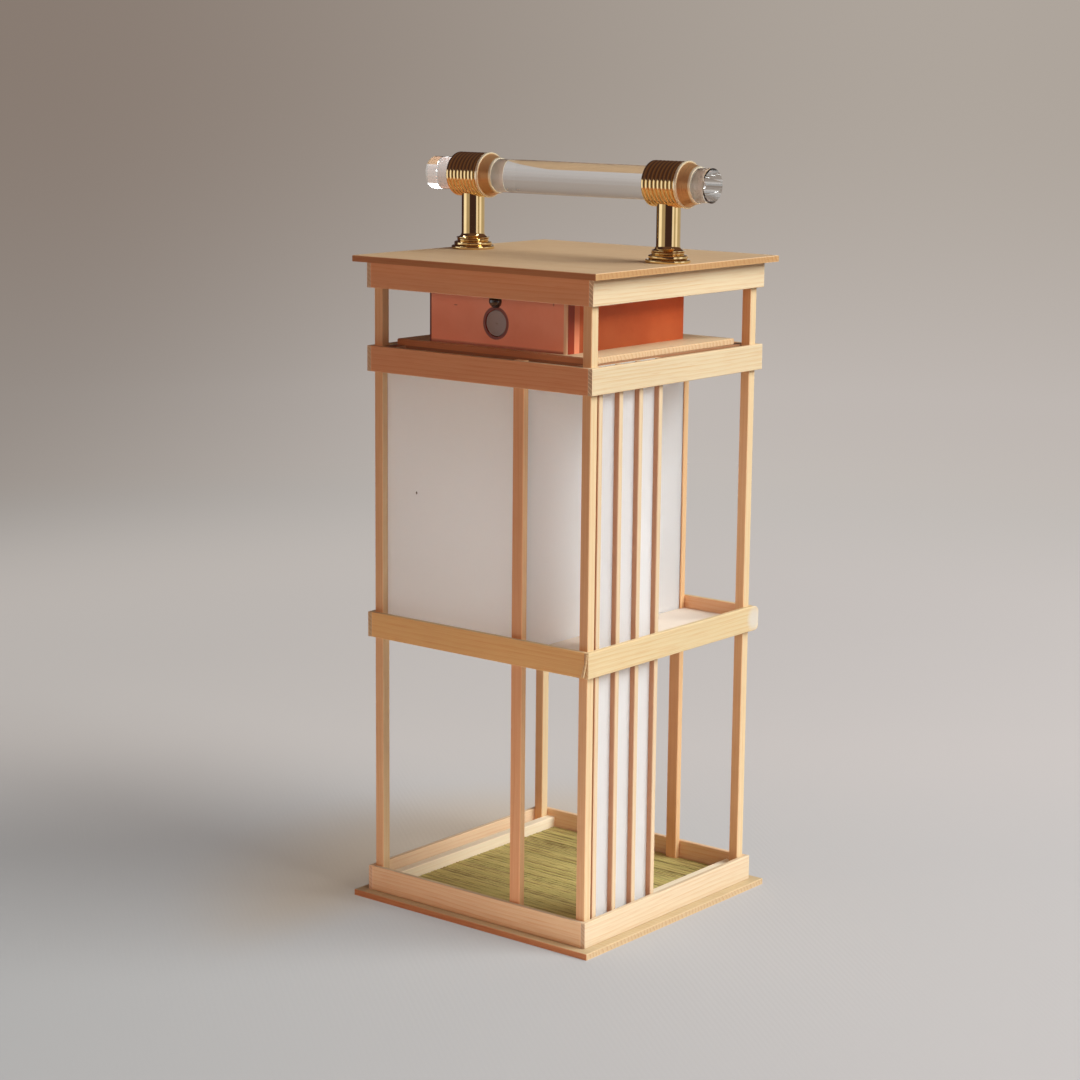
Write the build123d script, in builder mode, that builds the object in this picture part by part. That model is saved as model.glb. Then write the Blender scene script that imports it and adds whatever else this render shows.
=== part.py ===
from build123d import *
import os

# Wooden lantern on a square frame, millimetres. +Z up, origin on the ground at the middle of the base.
# Front is -Y, right is +X, the handle runs along X and the lattice panel slides along Y on the right.

# Frame
frame_width = 110.0            # square outside of the strips
strip_thickness = 2.0
strip_height = 10.0
post_side = 4.0
base_thickness = 2.4
base_overhang = 4.1
top_thickness = 2.4
top_overhang = 4.0
lower_bay_height = 94.6        # open heights between the bands
upper_bay_height = 95.6
light_bay_height = 22.4
mid_post_x = 19.0
mid_post_width = 5.0
mid_post_depth = 3.0
edge_ease = 0.2                # broken edges of the sticks
fit_gap = 0.3                  # loose fit between a panel and its frame

# Floor, rails and ledgers
rail_width = 4.0
rail_height = 7.0
mat_thickness = 2.8
ledger_height = 3.6
middle_floor_thickness = 1.2
shelf_thickness = 2.4
shelf_side_gap = 1.0           # shelf to the inner faces of the corner posts
shelf_end_gap = 7.4            # shelf to the insides of the front and back bands
light_hole_diameter = 50.0

# Paper walls
paper_thickness = 0.3
partition_setback = 0.9        # partition behind the open-side face of the middle posts

# Sliding lattice panel
slat_count = 4
slat_width = 2.5
slat_depth = 2.2
slat_pitch = 12.4
panel_rail_thickness = 0.8
panel_rail_height = 8.0
panel_face_gap = 0.4           # slats to the inside of the bands
panel_floor_gap = 0.3
panel_top_drop = 0.3
panel_parked_gap = 1.4         # first slat to the front post

# Light box
light_width = 68.0
light_depth = 74.0
light_height = 26.0
light_setback = 5.8            # centre of the light in front of the frame's centre
light_wall = 1.8
light_corner = 1.0
diffuser_thickness = 1.5
diffuser_recess = 1.5
diffuser_ledge = 0.5
board_side_gap = 2.2
board_thickness = 1.2
boss_diameter = 5.0
boss_height = 5.0
boss_inset = 4.0               # boss axis inside the edge of the circuit board
battery_length = 45.0
battery_width = 30.0
battery_thickness = 4.6
led_size = 3.0
led_height = 0.8
led_spacing = 15.0
led_row_count = 3

# Push button, switch and sensor in the front wall of the light
button_x = -0.5
button_rise = 9.2              # button centre above the bottom of the light
button_diameter = 9.7
button_radial_gap = 0.3
button_recess = 0.3
button_flange_diameter = 10.8
button_flange_thickness = 1.0
button_flange_gap = 0.1
button_dish = 0.35
button_dish_radius = 30.0
plunger_diameter = 3.6
plunger_radial_gap = 0.4
plunger_length = 4.4
plunger_engagement = 2.0
button_travel = 1.5
plunger_end_gap = 1.5
switch_width = 7.0
switch_depth = 6.5
switch_drop = 3.5              # switch body below the button's centre
sensor_rise = 17.6
sensor_diameter = 5.4
sensor_radial_gap = 0.05
sensor_tail = 1.0              # sensor body behind the wall

# Handle
stem_inset = 7.0               # stem axis inside the frame's outside
rod_overhang = 20.0            # rod past each stem's axis
rod_diameter = 13.0
rod_chamfer = 0.4
rod_rise = 29.4                # top board to the rod's axis
rod_radial_gap = 0.05
rosette_diameter = 17.2
rosette_foot = 1.5
rosette_shoulder_diameter = 12.0
rosette_height = 4.2
rosette_bead = 0.9
rosette_bead_bulge = 0.3
stem_diameter = 9.2
collar_diameter = 17.4
collar_lead = 7.2              # stem axis to the collar's left end
rib_count = 8
rib_pitch = 1.8
rib_groove_depth = 0.55
rib_groove_width = 1.1
stem_socket_gap = 0.05
nut_rim_diameter = 17.8
nut_rim_width = 1.4
nut_neck = 0.6
nut_cone_length = 5.0
nut_nose_diameter = 13.8

# Screws
screw_diameter = 4.0
screw_hole_gap = 0.2
thread_gap = 0.05
screw_head_diameter = 7.5
screw_head_height = 2.6
screw_reach = 12.0             # shank above the top board's underside
screw_slot_width = 1.0
screw_slot_depth = 1.0
tap_runout = 0.3               # tapped depth past the screw's end
grub_diameter = 3.0
grub_radial_gap = 0.05
grub_sink = 0.4
grub_socket = 1.5
grub_socket_depth = 0.9

# Heights and lines that follow from them
middle_band_level = base_thickness + strip_height + lower_bay_height
shelf_band_level = middle_band_level + strip_height + upper_bay_height
top_band_level = shelf_band_level + strip_height + light_bay_height
half_frame = frame_width / 2
inside = half_frame - strip_thickness
post_line = inside - post_side
rail_line = post_line - rail_width
shelf_level = shelf_band_level + strip_height
top_board_level = top_band_level + strip_height
middle_ledger_top = middle_band_level + ledger_height
middle_floor_top = middle_ledger_top + middle_floor_thickness
paper_top = shelf_level - ledger_height
mid_post_line = inside - mid_post_depth
partition_x = mid_post_x + mid_post_width / 2 - partition_setback
light_floor = shelf_level + shelf_thickness
light_roof = light_floor + light_height
light_front = -light_setback - light_depth / 2
cavity_width = light_width - 2 * light_wall
cavity_depth = light_depth - 2 * light_wall
board_width = cavity_width - 2 * board_side_gap
board_depth = cavity_depth - 2 * board_side_gap
handle_centres = frame_width - 2 * stem_inset
handle_level = top_board_level + top_thickness
rod_level = handle_level + rod_rise
board_top = light_roof - light_wall - boss_height
board_bottom = board_top - board_thickness

sides = {
    "front": ((0, strip_thickness / 2 - half_frame), (2 * inside, strip_thickness), Axis.X),
    "back": ((0, half_frame - strip_thickness / 2), (2 * inside, strip_thickness), Axis.X),
    "left": ((strip_thickness / 2 - half_frame, 0), (strip_thickness, frame_width), Axis.Y),
    "right": ((half_frame - strip_thickness / 2, 0), (strip_thickness, frame_width), Axis.Y),
}
left_and_right = {"left": -1, "right": 1}
front_and_back = {"front": -1, "back": 1}

os.makedirs("parts", exist_ok=True)


def keep(sub_part, name):
    # label a finished piece and write it
    sub_part.part.label = name
    export_step(sub_part.part, f"parts/{name}.step")


# Base board, with a broken top edge
with BuildPart() as base_board:
    with BuildSketch():
        Rectangle(frame_width + 2 * base_overhang, frame_width + 2 * base_overhang)
    extrude(amount=base_thickness)
    chamfer(base_board.faces().sort_by(Axis.Z)[-1].edges(), length=edge_ease)
keep(base_board, "base_board")

# Four bands of four strips; the left and right strips run through and show their end grain
bands = {
    "bottom": base_thickness,
    "middle": middle_band_level,
    "shelf": shelf_band_level,
    "top": top_band_level,
}
for band, level in bands.items():
    for side, (centre, size, run) in sides.items():
        with BuildPart() as strip:
            with BuildSketch(Plane.XY.offset(level)):
                with Locations(centre):
                    Rectangle(*size)
            extrude(amount=strip_height)
            chamfer(strip.edges().filter_by(run), length=edge_ease)
        keep(strip, f"{band}_strip_{side}")

# Corner posts, from the base board to the top board
post_centre = inside - post_side / 2
for depth_name, depth_sign in front_and_back.items():
    for width_name, width_sign in left_and_right.items():
        with BuildPart() as corner_post:
            with BuildSketch(Plane.XY.offset(base_thickness)):
                with Locations((width_sign * post_centre, depth_sign * post_centre)):
                    Rectangle(post_side, post_side)
            extrude(amount=top_board_level - base_thickness)
            chamfer(corner_post.edges().filter_by(Axis.Z), length=edge_ease)
        keep(corner_post, f"corner_post_{depth_name}_{width_name}")

# Middle posts of the front and back, from the base board to the top of the shelf band
for depth_name, depth_sign in front_and_back.items():
    with BuildPart() as mid_post:
        with BuildSketch(Plane.XY.offset(base_thickness)):
            with Locations((mid_post_x, depth_sign * (inside - mid_post_depth / 2))):
                Rectangle(mid_post_width, mid_post_depth)
        extrude(amount=shelf_level - base_thickness)
        chamfer(mid_post.edges().filter_by(Axis.Z), length=edge_ease)
    keep(mid_post, f"mid_post_{depth_name}")

# Rails on the floor and ledgers behind the middle and shelf bands; with the bands they make the
# channel in which the lattice panel slides
bars = {
    "floor_rail": (base_thickness, rail_height),
    "middle_ledger": (middle_band_level, ledger_height),
    "shelf_ledger": (shelf_level - ledger_height, ledger_height),
}
for bar_name, (level, height) in bars.items():
    for width_name, width_sign in left_and_right.items():
        with BuildPart() as bar:
            with BuildSketch(Plane.XY.offset(level)):
                with Locations((width_sign * (post_line - rail_width / 2), 0)):
                    Rectangle(rail_width, 2 * inside)
            extrude(amount=height)
            chamfer(bar.edges().filter_by(Axis.Y), length=edge_ease)
        keep(bar, f"{bar_name}_{width_name}")

# Woven mat between the floor rails, cut out round the middle posts
with BuildPart() as tatami_mat:
    with BuildSketch(Plane.XY.offset(base_thickness)):
        Rectangle(2 * (rail_line - fit_gap), 2 * (inside - fit_gap))
        for depth_sign in front_and_back.values():
            with Locations((mid_post_x, depth_sign * inside)):
                Rectangle(mid_post_width + 2 * fit_gap, 2 * (mid_post_depth + fit_gap), mode=Mode.SUBTRACT)
    extrude(amount=mat_thickness)
keep(tatami_mat, "tatami_mat")

# Thin floor of the upper room, laid on the middle ledgers and cut out round the middle posts
with BuildPart() as middle_floor:
    with BuildSketch(Plane.XY.offset(middle_ledger_top)):
        Rectangle(2 * (post_line - fit_gap), 2 * (inside - fit_gap))
        for depth_sign in front_and_back.values():
            with Locations((mid_post_x, depth_sign * inside)):
                Rectangle(mid_post_width + 2 * fit_gap, 2 * (mid_post_depth + fit_gap), mode=Mode.SUBTRACT)
    extrude(amount=middle_floor_thickness)
keep(middle_floor, "middle_floor")

# Paper glued behind the front and back posts, from the left corner to the partition
paper_length = partition_x + post_line
for depth_name, depth_sign in front_and_back.items():
    with BuildPart() as paper:
        with BuildSketch(Plane.XY.offset(middle_floor_top)):
            with Locations((partition_x - paper_length / 2, depth_sign * (mid_post_line - paper_thickness / 2))):
                Rectangle(paper_length, paper_thickness)
        extrude(amount=paper_top - middle_floor_top)
    keep(paper, f"paper_{depth_name}")

# Paper of the closed left side, glued to the outside of the ledgers
with BuildPart() as paper_left:
    with BuildSketch(Plane.XY.offset(middle_band_level)):
        with Locations((-post_line - paper_thickness / 2, 0)):
            Rectangle(paper_thickness, 2 * post_line)
    extrude(amount=shelf_level - middle_band_level)
keep(paper_left, "paper_left")

# Paper partition between the two middle posts
with BuildPart() as paper_partition:
    with BuildSketch(Plane.XY.offset(middle_floor_top)):
        with Locations((partition_x + paper_thickness / 2, 0)):
            Rectangle(paper_thickness, 2 * mid_post_line)
    extrude(amount=paper_top - middle_floor_top)
keep(paper_partition, "paper_partition")

# Lattice panel: slats with paper behind them, held by a thin rail at each end
panel_bottom = base_thickness + panel_floor_gap
panel_height = shelf_level - panel_top_drop - panel_bottom
panel_width = slat_pitch * (slat_count - 1) + slat_width
panel_y = panel_parked_gap - post_line + panel_width / 2
slat_front = inside - panel_face_gap
slat_back = slat_front - slat_depth
panel_rail_front = slat_back - paper_thickness

with BuildPart() as lattice_slats:
    with BuildSketch(Plane.XY.offset(panel_bottom)):
        with Locations((slat_front - slat_depth / 2, panel_y)):
            with GridLocations(0, slat_pitch, 1, slat_count):
                Rectangle(slat_depth, slat_width)
    extrude(amount=panel_height)
    chamfer(lattice_slats.edges().filter_by(Axis.Z).group_by(Axis.X)[-1], length=edge_ease)
keep(lattice_slats, "lattice_slats")

with BuildPart() as lattice_paper:
    with BuildSketch(Plane.XY.offset(panel_bottom)):
        with Locations((slat_back - paper_thickness / 2, panel_y)):
            Rectangle(paper_thickness, panel_width)
    extrude(amount=panel_height)
keep(lattice_paper, "lattice_paper")

panel_rails = {"bottom": panel_bottom, "top": panel_bottom + panel_height - panel_rail_height}
for rail_name, level in panel_rails.items():
    with BuildPart() as lattice_rail:
        with BuildSketch(Plane.XY.offset(level)):
            with Locations((panel_rail_front - panel_rail_thickness / 2, panel_y)):
                Rectangle(panel_rail_thickness, panel_width)
        extrude(amount=panel_rail_height)
    keep(lattice_rail, f"lattice_{rail_name}_rail")

# Shelf under the light, with a round hole that lets the light down into the paper room
with BuildPart() as shelf_board:
    with BuildSketch(Plane.XY.offset(shelf_level)):
        Rectangle(2 * (post_line - shelf_side_gap), 2 * (inside - shelf_end_gap))
        with Locations((0, -light_setback)):
            Circle(light_hole_diameter / 2, mode=Mode.SUBTRACT)
    extrude(amount=shelf_thickness)
    chamfer(shelf_board.faces().sort_by(Axis.Z)[-1].outer_wire().edges(), length=edge_ease)
keep(shelf_board, "shelf_board")

# Light housing: a box open below, stepped for the diffuser, with bosses for the circuit board and
# two round holes in its front wall
button_level = light_floor + button_rise
sensor_level = light_floor + sensor_rise
diffuser_seat = light_floor + diffuser_recess + diffuser_thickness
light_front_plane = Plane(origin=(0, light_front, 0), x_dir=(1, 0, 0), z_dir=(0, -1, 0))
with BuildPart() as light_housing:
    with BuildSketch(Plane.XY.offset(light_floor)):
        with Locations((0, -light_setback)):
            Rectangle(light_width, light_depth)
    extrude(amount=light_height)
    fillet(light_housing.edges().filter_by(Axis.Z), radius=light_corner)
    with BuildSketch(Plane.XY.offset(light_floor)):
        with Locations((0, -light_setback)):
            Rectangle(cavity_width, cavity_depth)
    extrude(amount=light_height - light_wall, mode=Mode.SUBTRACT)
    with BuildSketch(Plane.XY.offset(light_floor)):
        with Locations((0, -light_setback)):
            Rectangle(cavity_width + 2 * diffuser_ledge, cavity_depth + 2 * diffuser_ledge)
    extrude(amount=diffuser_seat - light_floor, mode=Mode.SUBTRACT)
    with BuildSketch(Plane.XY.offset(board_top)):
        with Locations((0, -light_setback)):
            with GridLocations(board_width - 2 * boss_inset, board_depth - 2 * boss_inset, 2, 2):
                Circle(boss_diameter / 2)
    extrude(amount=boss_height)
    with BuildSketch(light_front_plane):
        with Locations((button_x, button_level)):
            Circle(button_diameter / 2 + button_radial_gap)
        with Locations((button_x, sensor_level)):
            Circle(sensor_diameter / 2 + sensor_radial_gap)
    extrude(amount=-light_wall, mode=Mode.SUBTRACT)
keep(light_housing, "light_housing")

with BuildPart() as light_diffuser:
    with BuildSketch(Plane.XY.offset(light_floor + diffuser_recess)):
        with Locations((0, -light_setback)):
            Rectangle(cavity_width + diffuser_ledge, cavity_depth + diffuser_ledge)
    extrude(amount=diffuser_thickness)
keep(light_diffuser, "light_diffuser")

with BuildPart() as circuit_board:
    with BuildSketch(Plane.XY.offset(board_bottom)):
        with Locations((0, -light_setback)):
            Rectangle(board_width, board_depth)
    extrude(amount=board_thickness)
keep(circuit_board, "circuit_board")

with BuildPart() as led_chips:
    with BuildSketch(Plane.XY.offset(board_bottom)):
        with Locations((0, -light_setback)):
            with GridLocations(led_spacing, led_spacing, led_row_count, led_row_count):
                Rectangle(led_size, led_size)
    extrude(amount=-led_height)
keep(led_chips, "led_chips")

with BuildPart() as battery_cell:
    with BuildSketch(Plane.XY.offset(board_top)):
        with Locations((0, -light_setback)):
            Rectangle(battery_length, battery_width)
    extrude(amount=battery_thickness)
    fillet(battery_cell.edges().filter_by(Axis.Z), radius=light_corner)
keep(battery_cell, "battery_cell")

# Push button, turned about its own axis: dished face, flange behind the wall, plunger
button_face = button_recess
flange_front = light_wall + button_flange_gap
flange_back = flange_front + button_flange_thickness
plunger_end = flange_back + plunger_length
button_plane = Plane(origin=(button_x, light_front, button_level), x_dir=(1, 0, 0), z_dir=(0, 0, 1))
with BuildPart() as push_button:
    with BuildSketch(button_plane):
        with BuildLine():
            Polyline(
                (0, button_face),
                (0, plunger_end),
                (plunger_diameter / 2, plunger_end),
                (plunger_diameter / 2, flange_back),
                (button_flange_diameter / 2, flange_back),
                (button_flange_diameter / 2, flange_front),
                (button_diameter / 2, flange_front),
                (button_diameter / 2, button_face),
                close=True,
            )
        make_face()
        with Locations((0, button_face + button_dish - button_dish_radius)):
            Circle(button_dish_radius, mode=Mode.SUBTRACT)
    revolve(axis=Axis((button_x, light_front, button_level), (0, 1, 0)))
keep(push_button, "push_button")

# Switch hung from the circuit board, bored for the plunger
switch_face = light_front + plunger_end - plunger_engagement
switch_bottom = button_level - switch_drop
switch_plane = Plane(origin=(0, switch_face, 0), x_dir=(1, 0, 0), z_dir=(0, -1, 0))
with BuildPart() as switch_body:
    with BuildSketch(Plane.XY.offset(switch_bottom)):
        with Locations((button_x, switch_face + switch_depth / 2)):
            Rectangle(switch_width, switch_depth)
    extrude(amount=board_bottom - switch_bottom)
    with BuildSketch(switch_plane):
        with Locations((button_x, button_level)):
            Circle(plunger_diameter / 2 + plunger_radial_gap)
    extrude(amount=-(plunger_engagement + button_travel + plunger_end_gap), mode=Mode.SUBTRACT)
keep(switch_body, "switch_body")

# Domed sensor lens, turned about its own axis
sensor_radius = sensor_diameter / 2
sensor_back = light_wall + sensor_tail
sensor_plane = Plane(origin=(button_x, light_front, sensor_level), x_dir=(1, 0, 0), z_dir=(0, 0, 1))
with BuildPart() as sensor_dome:
    with BuildSketch(sensor_plane):
        with BuildLine():
            Polyline(
                (0, -sensor_radius),
                (0, sensor_back),
                (sensor_radius, sensor_back),
                (sensor_radius, 0),
            )
            RadiusArc((sensor_radius, 0), (0, -sensor_radius), sensor_radius)
        make_face()
    revolve(axis=Axis((button_x, light_front, sensor_level), (0, 1, 0)))
keep(sensor_dome, "sensor_dome")

# Top board, drilled for the two handle screws
with BuildPart() as top_board:
    with BuildSketch(Plane.XY.offset(top_board_level)):
        Rectangle(frame_width + 2 * top_overhang, frame_width + 2 * top_overhang)
        with GridLocations(handle_centres, 0, 2, 1):
            Circle(screw_diameter / 2 + screw_hole_gap, mode=Mode.SUBTRACT)
    extrude(amount=top_thickness)
    chamfer(top_board.faces().sort_by(Axis.Z)[-1].outer_wire().edges(), length=edge_ease)
keep(top_board, "top_board")

# Clear rod
with BuildPart() as handle_rod:
    with BuildSketch(Plane.YZ):
        with Locations((0, rod_level)):
            Circle(rod_diameter / 2)
    extrude(amount=handle_centres / 2 + rod_overhang, both=True)
    chamfer(handle_rod.edges(), length=rod_chamfer)
keep(handle_rod, "handle_rod")

# Each bracket: rosette, stem, ribbed collar and the cone nut that closes it
rosette_radius = rosette_diameter / 2
shoulder_radius = rosette_shoulder_diameter / 2
stem_radius = stem_diameter / 2
bore_radius = rod_diameter / 2 + rod_radial_gap
collar_radius = collar_diameter / 2
collar_length = rib_count * rib_pitch
collar_wall = collar_radius - rib_groove_depth - bore_radius
stem_top = rod_level - bore_radius - collar_wall / 2
shank_hole_radius = screw_diameter / 2 + screw_hole_gap
thread_radius = screw_diameter / 2 + thread_gap
grub_hole_radius = grub_diameter / 2 + grub_radial_gap
for width_name, width_sign in left_and_right.items():
    stem_x = width_sign * handle_centres / 2
    collar_start = stem_x - collar_lead
    collar_end = collar_start + collar_length
    upright = Axis((stem_x, 0, 0), (0, 0, 1))
    rod_axis = Axis((0, 0, rod_level), (1, 0, 0))
    turning_plane = Plane(origin=(stem_x, 0, handle_level), x_dir=(1, 0, 0), z_dir=(0, -1, 0))
    lathe_plane = Plane(origin=(0, 0, rod_level), x_dir=(1, 0, 0), z_dir=(0, -1, 0))

    # rosette: flat foot, hollow cove, bead under the stem
    with BuildPart() as rosette:
        with BuildSketch(turning_plane):
            with BuildLine():
                Polyline(
                    (shank_hole_radius, 0),
                    (rosette_radius, 0),
                    (rosette_radius, rosette_foot - edge_ease),
                    (rosette_radius - edge_ease, rosette_foot),
                )
                ThreePointArc(
                    (rosette_radius - edge_ease, rosette_foot),
                    ((rosette_radius + shoulder_radius) / 2 - edge_ease, rosette_foot + rosette_bead / 2),
                    (shoulder_radius, rosette_height - rosette_bead),
                )
                ThreePointArc(
                    (shoulder_radius, rosette_height - rosette_bead),
                    (shoulder_radius + rosette_bead_bulge, rosette_height - rosette_bead / 2),
                    (shoulder_radius, rosette_height),
                )
                Polyline(
                    (shoulder_radius, rosette_height),
                    (shank_hole_radius, rosette_height),
                    (shank_hole_radius, 0),
                )
            make_face()
        revolve(axis=upright)
    keep(rosette, f"handle_rosette_{width_name}")

    # stem, tapped from below
    with BuildPart() as stem:
        with BuildSketch(Plane.XY.offset(handle_level + rosette_height)):
            with Locations((stem_x, 0)):
                Circle(stem_radius)
        extrude(amount=stem_top - handle_level - rosette_height)
        with BuildSketch(Plane.XY.offset(handle_level + rosette_height)):
            with Locations((stem_x, 0)):
                Circle(thread_radius)
        extrude(amount=screw_reach - top_thickness - rosette_height + tap_runout, mode=Mode.SUBTRACT)
    keep(stem, f"handle_stem_{width_name}")

    # ribbed collar with a socket for the stem and a tapped hole at the back for the grub screw
    with BuildPart() as collar:
        with BuildSketch(lathe_plane):
            with Locations(((collar_start + collar_end) / 2, (bore_radius + collar_radius) / 2)):
                Rectangle(collar_length, collar_radius - bore_radius)
            with Locations((collar_start, collar_radius)):
                with Locations([(rib_pitch * (rib + 1), 0) for rib in range(rib_count)]):
                    with BuildLine():
                        Polyline(
                            (-rib_groove_width / 2, 0),
                            (0, -rib_groove_depth),
                            (rib_groove_width / 2, 0),
                            close=True,
                        )
                    make_face(mode=Mode.SUBTRACT)
        revolve(axis=rod_axis)
        with BuildSketch(Plane.XY.offset(stem_top)):
            with Locations((stem_x, 0)):
                Circle(stem_radius + stem_socket_gap)
        extrude(amount=-collar_radius, mode=Mode.SUBTRACT)
        with BuildSketch(Plane.XZ):
            with Locations((stem_x, rod_level)):
                Circle(grub_hole_radius)
        extrude(amount=-collar_radius, mode=Mode.SUBTRACT)
    keep(collar, f"ribbed_collar_{width_name}")

    # cone nut: narrow neck, bright rim, cone down to the rod
    with BuildPart() as nut:
        with BuildSketch(lathe_plane):
            with BuildLine():
                Polyline(
                    (collar_end, bore_radius),
                    (collar_end, collar_radius - rib_groove_depth),
                    (collar_end + nut_neck, collar_radius - rib_groove_depth),
                    (collar_end + nut_neck, nut_rim_diameter / 2),
                    (collar_end + nut_neck + nut_rim_width, nut_rim_diameter / 2),
                    (collar_end + nut_neck + nut_rim_width + nut_cone_length, nut_nose_diameter / 2),
                    (collar_end + nut_neck + nut_rim_width + nut_cone_length, bore_radius),
                    close=True,
                )
            make_face()
        revolve(axis=rod_axis)
    keep(nut, f"cone_nut_{width_name}")

# Grub screws in the backs of the collars, bearing on the rod
with BuildPart() as collar_grub_screws:
    grub_outer = collar_radius - grub_sink
    with BuildSketch(Plane.XZ.offset(-grub_outer)):
        with GridLocations(handle_centres, 0, 2, 1):
            with Locations((0, rod_level)):
                Circle(grub_diameter / 2)
    extrude(amount=grub_outer - bore_radius)
    with BuildSketch(Plane.XZ.offset(-grub_outer)):
        with GridLocations(handle_centres, 0, 2, 1):
            with Locations((0, rod_level)):
                RegularPolygon(grub_socket / 2, 6)
    extrude(amount=grub_socket_depth, mode=Mode.SUBTRACT)
keep(collar_grub_screws, "collar_grub_screws")

# Screws from inside the top, up through the board and rosettes into the stems
with BuildPart() as mounting_screws:
    with BuildSketch(Plane.XY.offset(top_board_level - screw_head_height)):
        with GridLocations(handle_centres, 0, 2, 1):
            Circle(screw_head_diameter / 2)
    extrude(amount=screw_head_height)
    with BuildSketch(Plane.XY.offset(top_board_level)):
        with GridLocations(handle_centres, 0, 2, 1):
            Circle(screw_diameter / 2)
    extrude(amount=screw_reach)
    with BuildSketch(Plane.XY.offset(top_board_level - screw_head_height)):
        with GridLocations(handle_centres, 0, 2, 1):
            Rectangle(screw_slot_width, screw_head_diameter)
    extrude(amount=screw_slot_depth, mode=Mode.SUBTRACT)
keep(mounting_screws, "mounting_screws")
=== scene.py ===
import bmesh
import bpy
import math
from mathutils import Matrix, Vector


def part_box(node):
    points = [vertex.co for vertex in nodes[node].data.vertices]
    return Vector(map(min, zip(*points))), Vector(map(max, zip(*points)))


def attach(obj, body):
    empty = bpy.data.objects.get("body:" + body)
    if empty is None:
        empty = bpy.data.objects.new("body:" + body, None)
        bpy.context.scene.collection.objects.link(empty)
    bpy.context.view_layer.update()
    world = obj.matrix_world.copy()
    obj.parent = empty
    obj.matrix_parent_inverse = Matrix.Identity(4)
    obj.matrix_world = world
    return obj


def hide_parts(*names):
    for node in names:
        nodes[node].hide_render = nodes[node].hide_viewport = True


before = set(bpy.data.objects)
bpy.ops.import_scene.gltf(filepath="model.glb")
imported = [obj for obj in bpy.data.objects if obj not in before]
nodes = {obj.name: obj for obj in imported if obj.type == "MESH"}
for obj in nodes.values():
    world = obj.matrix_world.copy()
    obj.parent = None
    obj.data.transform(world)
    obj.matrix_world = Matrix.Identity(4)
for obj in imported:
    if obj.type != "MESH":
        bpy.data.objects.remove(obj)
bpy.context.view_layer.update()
scene = bpy.context.scene
print("frame loaded:", len(nodes), "nodes")


class Flow:  # a socket that does arithmetic
    def __init__(self, bench, socket):
        self.bench = bench
        self.socket = socket

    def out(self, name):
        return Flow(self.bench, self.socket.node.outputs[name])

    def op(self, operation, *others):
        values = dict(enumerate((self, *others)))
        return self.bench.node("ShaderNodeMath", {"operation": operation}, values)

    def __add__(self, other):
        return self.op("ADD", other)

    __radd__ = __add__

    def __sub__(self, other):
        return self.op("SUBTRACT", other)

    def __rsub__(self, other):
        return self.bench.node("ShaderNodeMath", {"operation": "SUBTRACT"}, {0: other, 1: self})

    def __mul__(self, other):
        return self.op("MULTIPLY", other)

    __rmul__ = __mul__

    def __truediv__(self, other):
        return self.op("DIVIDE", other)

    def __rtruediv__(self, other):
        return self.bench.node("ShaderNodeMath", {"operation": "DIVIDE"}, {0: other, 1: self})

    def __pow__(self, other):
        return self.op("POWER", other)

    def __abs__(self):
        return self.op("ABSOLUTE")

    def __neg__(self):
        return self.op("MULTIPLY", -1.0)

    def least(self, other):
        return self.op("MINIMUM", other)

    def most(self, other):
        return self.op("MAXIMUM", other)

    def rise(self, start, end):  # 0 at start, 1 at end, eased between
        limits = {"Value": self, "From Min": start, "From Max": end}
        return self.bench.node("ShaderNodeMapRange", {"interpolation_type": "SMOOTHSTEP"}, limits)

    def fall(self, start, end):
        return 1.0 - self.rise(start, end)


class Bench:  # adds nodes to one tree
    def __init__(self, tree):
        self.tree = tree

    def node(self, kind, settings=None, sockets=None, out=0):
        made = self.tree.nodes.new(kind)
        for key, value in (settings or {}).items():
            setattr(made, key, value)
        for key, value in (sockets or {}).items():
            if isinstance(value, Flow):
                self.tree.links.new(value.socket, made.inputs[key])
            else:
                made.inputs[key].default_value = value
        return Flow(self, made.outputs[out]) if made.outputs else None

    def mix(self, factor, first, second, blend="MIX"):
        first, second = [(*c, 1.0) if isinstance(c, tuple) and len(c) == 3 else c for c in (first, second)]
        settings = {"data_type": "RGBA", "blend_type": blend}
        return self.node("ShaderNodeMix", settings, {0: factor, 6: first, 7: second}, out=2)

    def times(self, first, second):
        return self.mix(1.0, first, second, "MULTIPLY")

    def vector(self, x, y, z):
        return self.node("ShaderNodeCombineXYZ", None, {0: x, 1: y, 2: z})

    def axes(self, flow):
        split = self.node("ShaderNodeSeparateXYZ", None, {0: flow})
        return {"x": split.out("X"), "y": split.out("Y"), "z": split.out("Z")}

    def noise(self, place, scale=1.0, detail=2.0, rough=0.5):
        sockets = {"Vector": place, "Scale": scale, "Detail": detail, "Roughness": rough}
        return self.node("ShaderNodeTexNoise", None, sockets)

    def grey(self, value):  # a number as a colour to multiply by
        return self.node("ShaderNodeCombineColor", None, {0: value, 1: value, 2: value})

    def place(self):
        return self.node("ShaderNodeTexCoord").out("Object")

    def seen(self):  # 1 where the viewer looks, straight or through the clear rod
        path = self.node("ShaderNodeLightPath")
        return path.out("Is Camera Ray").most(path.out("Is Transmission Ray"))

    def bump(self, height, strength, distance):
        sockets = {"Strength": strength, "Distance": distance, "Height": height}
        return self.node("ShaderNodeBump", None, sockets)

    def principled(self, colour, rough, normal, others=None):
        sockets = {"Base Color": colour, "Roughness": rough, "Normal": normal, **(others or {})}
        return self.node("ShaderNodeBsdfPrincipled", None, sockets)


def distance(first, second):
    return (first * first + second * second) ** 0.5


def newMaterial(name):
    material = bpy.data.materials.new(name)
    material.use_nodes = True
    material.node_tree.nodes.clear()
    return material, Bench(material.node_tree)


def closeMaterial(bench, shader):
    bench.node("ShaderNodeOutputMaterial", None, {"Surface": shader})


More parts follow.
